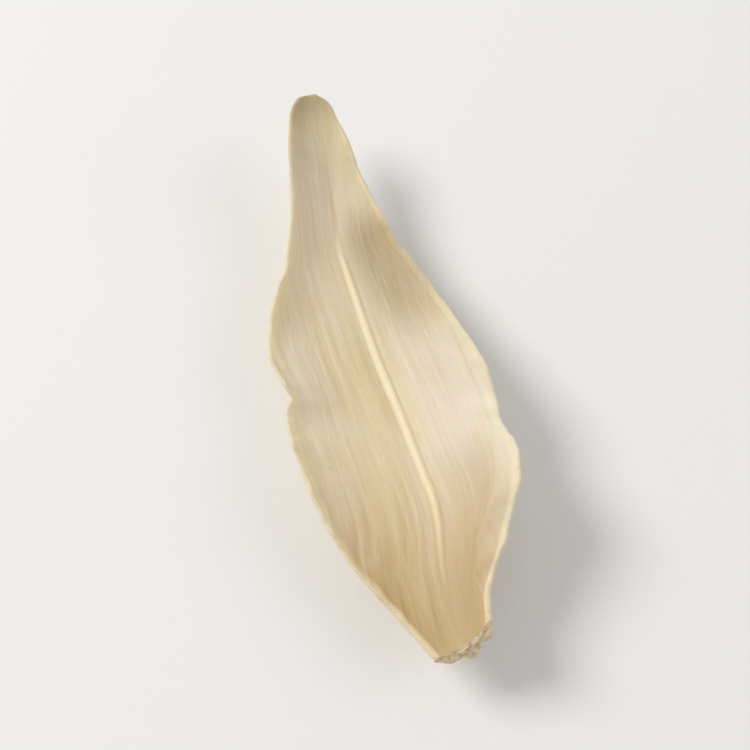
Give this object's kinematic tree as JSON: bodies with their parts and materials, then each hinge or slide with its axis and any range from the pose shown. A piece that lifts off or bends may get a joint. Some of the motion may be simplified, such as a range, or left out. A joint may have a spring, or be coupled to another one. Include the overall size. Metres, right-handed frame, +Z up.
{
  "type": "dried lily bulb scale",
  "caption": "Dried lily bulb scale: a pointed, boat-shaped blade of ivory flesh with a raised middle rib, frilled thin margins and a torn base, lying hollow side up.",
  "frame": {"origin": "under the centre of the bounding box, on the surface that the belly rests on", "axes": "+Y along the scale's length from its torn base to its pointed tip, +Z up out of the hollow face, +X to the right seen from the hollow side with the tip away"},
  "size_m": [0.0172, 0.0506, 0.0102],
  "materials": {
    "dried_flesh": "satin"
  },
  "bodies": {
    "root": {"lily_scale": "dried_flesh"}
  },
  "joints": []
}
